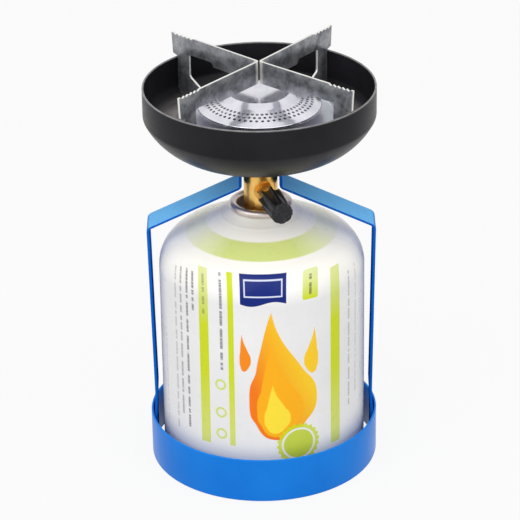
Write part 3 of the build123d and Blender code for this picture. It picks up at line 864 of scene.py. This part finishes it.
def milky_acetal():
    """Natural acetal, faintly cloudy from moulding."""
    finish = Finish("milky_acetal", (228, 226, 216), 0.4, Subsurface_Weight=0.1,
                    Subsurface_Scale=1 * mm)
    cloud = finish.noise(420, 3)
    return finish.close(finish.blend(cloud, 0.3, 0.7, (222, 220, 208), (236, 235, 228)), None,
                        finish.noise(1600, 2), 0.01 * mm)


def sintered_bronze():
    """Filter plug of small bronze grains pressed together."""
    finish = Finish("sintered_bronze", (156, 108, 58), 0.5, Metallic=1.0)
    grains = finish.grains(3200.0)
    return finish.close(finish.blend(grains, 0.1, 0.6, (176, 124, 70), (92, 58, 28)), None,
                        finish.minus(1.0, grains), 0.08 * mm)


class CanPrint(Finish):
    """Print of the cartridge, in millimetres from the middle of the wall's front or back."""

    lime = (206, 220, 30)
    white = (236, 236, 239)
    edge = 0.12

    def start(self):
        """Bare wall, paler and warmer on the shoulder as painted light, and the places on front and
        back.
        """
        reach = self.math("MULTIPLY_ADD", self.radius, 1.2, -0.2 * can_high.x)
        self.front = self.times(self.turn, reach)
        back_turn = self.math("ARCTAN2", self.times(self.x, -1.0), self.y)
        self.back = self.times(back_turn, can_high.x)
        wall = self.blend(self.noise(22, 3), 0.3, 0.7, (231, 231, 233), (239, 239, 240))
        # painted light: the shoulder is made near white, against the shade under the bowl
        self.color = self.mix(self.between(self.z, 112, 126), wall, (254, 252, 245))

    def between(self, value, low, high, to_low=0.0, to_high=1.0):
        """The share of a length, with its ends in millimetres."""
        return self.share(value, low * mm, high * mm, to_low, to_high)

    def mask(self, distance, edge=edge):
        """Printed area: 1 where the distance to its border, counted outwards, is below zero."""
        return self.between(distance, -edge, edge, 1.0, 0.0)

    def lay(self, mask, ink, strength=1.0):
        """Prints an ink over the colours below it."""
        self.color = self.mix(self.times(mask, strength), self.color, ink)

    def beyond(self, place, left, right, low, high):
        """How far a point lies beyond the sides of a box, along the wall and upwards."""
        for value, start, end in ((place, left, right), (self.z, low, high)):
            off_middle = self.math("ABSOLUTE", self.minus(value, (start + end) / 2 * mm))
            yield self.minus(off_middle, (end - start) / 2 * mm)

    def box(self, *sides):
        """Upright box, from its place, left, right, low and high."""
        return self.mask(self.math("MAXIMUM", *self.beyond(*sides)))

    def far_from(self, centre, height):
        """Distance along the wall from a point of the front."""
        return self.length(self.minus(self.front, centre * mm), self.minus(self.z, height * mm))

    def bands(self):
        """Pale ring on the shoulder, upright stripes and a small plate with round corners."""
        ring = self.times(self.between(self.radius, 28.4, 29.6),
                          self.between(self.radius, 39.8, 40.6, 1.0, 0.0))
        ring = self.times(ring, self.between(self.z, 127, 128))
        side_fade = self.share(self.math("ABSOLUTE", self.turn), 0.5, 1.3, 0.95, 0.25)
        self.lay(ring, (212, 224, 130), side_fade)
        foot_fade = self.between(self.z, 24, 70, 0.75, 1.0)
        top_fade = self.between(self.z, 98, 127, 1.0, 0.6)
        for side, left, right, low, high, fade in (
                (self.front, -35.4, -29.6, 28.0, 126.8, top_fade),
                (self.front, -18.4, -15.3, 29.0, 127.2, 1.0),
                (self.front, 38.4, 45.2, 23.5, 124.6, top_fade),
                (self.back, -44.0, -38.0, 28.0, 126.0, top_fade),
                (self.back, -6.0, -3.0, 29.0, 127.0, 1.0),
                (self.back, 34.0, 40.0, 28.0, 126.0, top_fade)):
            stripe = self.times(self.box(side, left, right, low, high), foot_fade)
            self.lay(stripe, self.lime, fade)
        corner = 1.3
        beyond = self.beyond(self.front, 21.2 + corner, 30.2 - corner, 113.6 + corner,
                             127.0 - corner)
        far = self.length(*(self.math("MAXIMUM", reach, 0.0) for reach in beyond))
        self.lay(self.mask(self.minus(far, corner * mm)), self.lime,
                 self.between(self.z, 114, 128, 1.0, 0.5))

    def badge(self):
        """Plain blue badge with a wavy foot and a bare frame."""
        foot = self.wave(self.front, 260.0, 1.2 * mm, 113.4 * mm)
        above_foot = self.between(self.minus(self.z, foot), -self.edge, self.edge)
        self.lay(self.box(self.front, -11.6, 12.4, 108, 127.2), (6, 34, 118), above_foot)
        outer = self.box(self.front, -9.6, 10.4, 117.0, 125.2)
        inner = self.box(self.front, -8.9, 9.7, 117.7, 124.5)
        self.lay(self.math("SUBTRACT", outer, inner, clamp=True), (214, 220, 240))

    def flame(self, centre, low, high, half_width, sway, ink):
        """Flame shape: broad and round below, drawn out to a tip that sways."""
        rise = self.between(self.z, low, high)
        belly = self.node("FloatCurve", {"Value": rise})
        curve = belly.mapping.curves[0]
        for share, width in ((0.12, 0.72), (0.3, 1.0), (0.55, 0.66), (0.8, 0.24)):
            curve.points.new(share, width)
        curve.points[0].location = (0, 0)
        curve.points[-1].location = (1, 0)
        belly.mapping.update()
        lean = self.wave(rise, 5.2, sway * mm)
        off_middle = self.minus(self.minus(self.front, centre * mm), lean)
        beyond = self.minus(self.math("ABSOLUTE", off_middle),
                            self.times(belly.outputs[0], half_width * mm))
        inside = self.times(self.between(self.z, low, low + self.edge),
                            self.between(self.z, high - self.edge, high, 1.0, 0.0))
        self.lay(self.mask(beyond, edge=0.25), ink, inside)

    def flames(self):
        """Three flames in each other, each hotter, and a small one on each side."""
        slanted = self.math("MULTIPLY_ADD", self.front, 0.9, self.times(self.z, 0.35))
        orange = self.mix(self.between(slanted, 18, 48), (246, 122, 14), (252, 212, 40))
        self.flame(7.5, 33.0, 109.0, 18.5, 3.4, orange)
        self.flame(6.5, 35.0, 88.0, 12.4, 2.4, (253, 178, 20))
        self.flame(6.0, 37.0, 66.0, 7.0, 1.2, (254, 226, 60))
        self.flame(27.0, 70.0, 97.0, 4.2, -1.0, (252, 206, 40))
        self.flame(-10.2, 74.0, 96.0, 3.0, 0.8, (248, 140, 20))

    def discs(self):
        """Scalloped lime disc with a white ring in it, and three hoops above each other."""
        centre, height = 18.6, 29.5
        far = self.far_from(centre, height)
        angle = self.math("ARCTAN2", self.minus(self.z, height * mm),
                          self.minus(self.front, centre * mm))
        scallops = self.wave(angle, 22.0, 0.5 * mm, 11.6 * mm)
        self.lay(self.mask(self.minus(far, scallops)), self.lime, 0.9)
        self.lay(self.mask(self.minus(far, 9.4 * mm)), self.white)
        self.lay(self.mask(self.minus(far, 8.3 * mm)), (196, 212, 74))
        for height in (64.6, 48.0, 35.2):
            off_line = self.math("ABSOLUTE", self.minus(self.far_from(-23.1, height), 2.6 * mm))
            self.lay(self.mask(self.minus(off_line, 0.6 * mm)), self.lime, 0.8)

    def dashes(self):
        """Columns of plain dashes: the middle, foot and top of each, and how dark it is."""
        columns = [(self.front, *column) for column in (
            (-39.5, 104.0, 124.5, 0.8), (-43.8, 33.0, 124.0, 0.8), (-48.8, 39.0, 123.5, 0.6),
            (-53.6, 29.0, 122.5, 0.4), (-65.7, 28.0, 84.0, 0.25), (-22.2, 73.5, 126.5, 0.8),
            (-32.5, 104.0, 124.5, 0.5), (25.7, 116.0, 125.0, 0.8), (53.2, 41.0, 119.5, 0.45),
            (60.4, 46.0, 121.0, 0.3))]
        columns += [(self.back, *column, 0.6) for column in (
            (-33.0, 30.0, 124.0), (-28.5, 44.0, 124.0), (-24.0, 30.0, 96.0),
            (-12.0, 36.0, 125.0), (6.0, 30.0, 124.0), (10.5, 38.0, 124.0),
            (15.0, 30.0, 118.0), (19.5, 62.0, 124.0))]
        half_width = 0.75
        for number, (side, middle, low, high, dark) in enumerate(columns):
            column = self.box(side, middle - half_width, middle + half_width, low, high)
            along = self.node("CombineXYZ", {"X": float(number), "Z": self.z}).outputs[0]
            rows = self.share(self.noise(300, 1, place=along), 0.42, 0.46)
            marks = self.share(self.noise(1300, 1, place=along), 0.3, 0.6, 0.35, 1.0)
            self.lay(self.times(column, self.times(rows, marks)), (60, 60, 66), dark)


def can_print():
    """Gloss white print with bands, a plain badge, flames, discs and rows of dashes."""
    finish = CanPrint("can_print", CanPrint.white, 0.3, Specular_IOR_Level=0.2)
    finish.start()
    finish.bands()
    finish.badge()
    finish.flames()
    finish.discs()
    finish.dashes()
    return finish.close(finish.color, finish.share(finish.noise(140, 4), 0.35, 0.75, 0.26, 0.36),
                        finish.noise(520, 2), 0.0015 * mm)


def finish_pieces(pieces):
    """Gives every piece that shows its material."""
    nodes = frame["nodes"]
    ring_blue = (20, 128, 226)
    ring_enamel = blue_enamel("ring_enamel", (12, 118, 216), ring_blue, ring_blue, 0.12)
    ring_enamel.onto(pieces["ring"])
    # strap blues: deep, pale, and the paler blue painted on upward faces as top light
    strap_blues = (10, 88, 188), (18, 102, 204), (116, 190, 248)
    blue_enamel("strap_enamel", *strap_blues, 0.0).onto(pieces["strap"])
    bowl_enamel().onto(pieces["bowl"])
    zinc_plate().onto(pieces["support_left"], pieces["support_right"])
    nickel_plate("crown_nickel", 0.17).onto(pieces["crown"])
    nickel_plate("bell_nickel", 0.25).onto(nodes["burner_bell"])
    pan_plate().onto(pieces["pan"])
    turned_brass("body_brass").onto(pieces["valve"])
    knob_plastic().onto(pieces["knob"])
    can_print().onto(pieces["can"])
    tinplate("cup_tinplate").onto(pieces["cup"])
    tinplate("base_tinplate").onto(nodes["cartridge_base"])
    for finish, names in (
            (turned_brass("fitting_brass"), ("jet", "gland_nut", "valve_spindle")),
            (plain_steel(), ("mixing_tube", "lock_washer", "clamp_nut", "depressor_pin",
                             "stem_spring")),
            (seal_rubber(), ("spindle_o_ring", "connector_gasket", "cup_gasket",
                             "stem_gasket")),
            (milky_acetal(), ("valve_housing", "cartridge_stem")),
            (sintered_bronze(), ("jet_filter",))):
        finish.onto(*(nodes[name] for name in names))


def set_camera():
    """Camera at the photograph's angle: 1.48 m off, looking 26 degrees down."""
    camera_data = bpy.data.cameras.new("camera")
    camera_data.lens = camera_lens
    camera_data.shift_x = camera_shift
    camera_data.clip_end = 20.0
    camera = bpy.data.objects.new("camera", camera_data)
    bpy.context.scene.collection.objects.link(camera)
    look_down = Matrix.Rotation(math.radians(90 - camera_look_down), 4, "X")
    roll = Matrix.Rotation(math.radians(camera_roll), 4, "Z")
    camera.matrix_world = Matrix.Translation(camera_place) @ look_down @ roll
    bpy.context.scene.camera = camera


def soft_lamp(name, place, size, power):
    """Square soft box that looks at the stove."""
    lamp_data = bpy.data.lights.new(name, "AREA")
    lamp_data.size = size
    lamp_data.energy = power
    lamp = bpy.data.objects.new(name, lamp_data)
    lamp.location = place
    aim = Vector(lamp_aim) - Vector(place)
    lamp.rotation_euler = aim.to_track_quat("-Z", "Y").to_euler()
    bpy.context.scene.collection.objects.link(lamp)


def white_for_the_eye(tree, lit, white, share=1.0):
    """Mixes the lit shader with plain white where the camera, a mirror or glass looks at it."""
    path = tree.nodes.new("ShaderNodeLightPath")
    seen = path.outputs["Is Camera Ray"]
    for ray in ("Is Glossy Ray", "Is Transmission Ray"):
        either = tree.nodes.new("ShaderNodeMath")
        either.operation = "MAXIMUM"
        tree.links.new(seen, either.inputs[0])
        tree.links.new(path.outputs[ray], either.inputs[1])
        seen = either.outputs[0]
    whitened = tree.nodes.new("ShaderNodeMath")
    whitened.operation = "MULTIPLY"
    whitened.inputs[1].default_value = share
    tree.links.new(seen, whitened.inputs[0])
    mix = tree.nodes.new("ShaderNodeMixShader")
    for number, source in enumerate((whitened, lit, white)):
        tree.links.new(source.outputs[0], mix.inputs[number])
    return mix


def set_stage():
    """Pale floor, white surroundings and soft lamps."""
    world = bpy.data.worlds.new("studio")
    world.use_nodes = True
    bpy.context.scene.world = world
    tree = world.node_tree
    lit = tree.nodes["Background"]
    set_sockets(lit, Color=(0.92, 0.91, 0.9, 1), Strength=0.7)
    white = tree.nodes.new("ShaderNodeBackground")
    set_sockets(white, Color=(1, 1, 1, 1))
    mix = white_for_the_eye(tree, lit, white)
    tree.links.new(mix.outputs[0], tree.nodes["World Output"].inputs[0])

    start_fresh()
    bpy.ops.mesh.primitive_plane_add(size=floor_size, location=(0, 0, floor_height))
    floor = bpy.context.object
    floor.name = "floor"
    material = bpy.data.materials.new("pale_floor")
    material.use_nodes = True
    tree = material.node_tree
    shader = tree.nodes["Principled BSDF"]
    set_sockets(shader, Base_Color=(0.62, 0.62, 0.62, 1), Roughness=0.9, Specular_IOR_Level=0.1)
    glow = tree.nodes.new("ShaderNodeEmission")
    mix = white_for_the_eye(tree, shader, glow, 0.9)
    tree.links.new(mix.outputs[0], tree.nodes["Material Output"].inputs[0])
    floor.data.materials.append(material)

    for lamp in lamps:
        soft_lamp(*lamp)


set_camera()
set_stage()
pieces = {
    "ring": make_ring(),
    "strap": make_strap(),
    "bowl": make_bowl(),
    "support_left": make_support("pot_support_left", "support_plate_left"),
    "support_right": make_support("pot_support_right", "support_plate_right"),
    "crown": make_crown(),
    "pan": make_pan(),
    "valve": make_valve(),
    "knob": make_knob(),
    "can": make_can(),
    "cup": make_cup(),
}
finish_pieces(pieces)
bpy.context.scene.view_settings.view_transform = "Standard"
